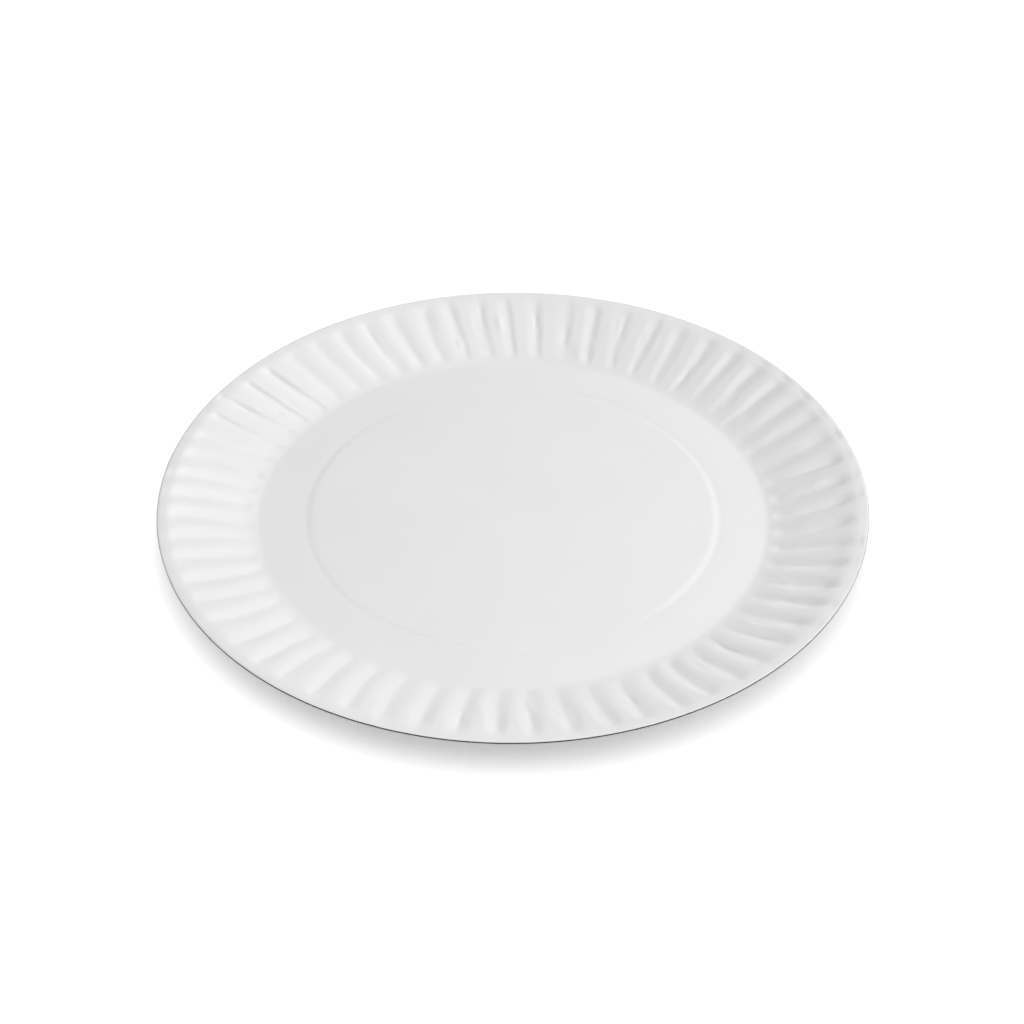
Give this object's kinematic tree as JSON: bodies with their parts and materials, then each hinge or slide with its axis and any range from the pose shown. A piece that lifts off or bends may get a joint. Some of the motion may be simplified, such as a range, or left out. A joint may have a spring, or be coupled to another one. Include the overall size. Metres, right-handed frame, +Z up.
{
  "type": "paper plate",
  "caption": "Round pressed paperboard plate with a slightly raised middle, a gently sloping floor, a shallow fluted wall and a plain flat lip.",
  "frame": {"origin": "centre of the plate, on the plane that its foot ring stands on", "axes": "+Z up along the plate's own axis, out of the side that food is put on; +X and +Y lie in the plane of the foot ring, with a ridge of the flutes on +X"},
  "size_m": [0.2298, 0.2298, 0.0109],
  "materials": {
    "coated_board": "smooth white coated paperboard with a faint sheen on the upper face, duller underneath, and a bare greyish cut edge"
  },
  "bodies": {
    "root": {"plate": "coated_board"}
  },
  "joints": []
}
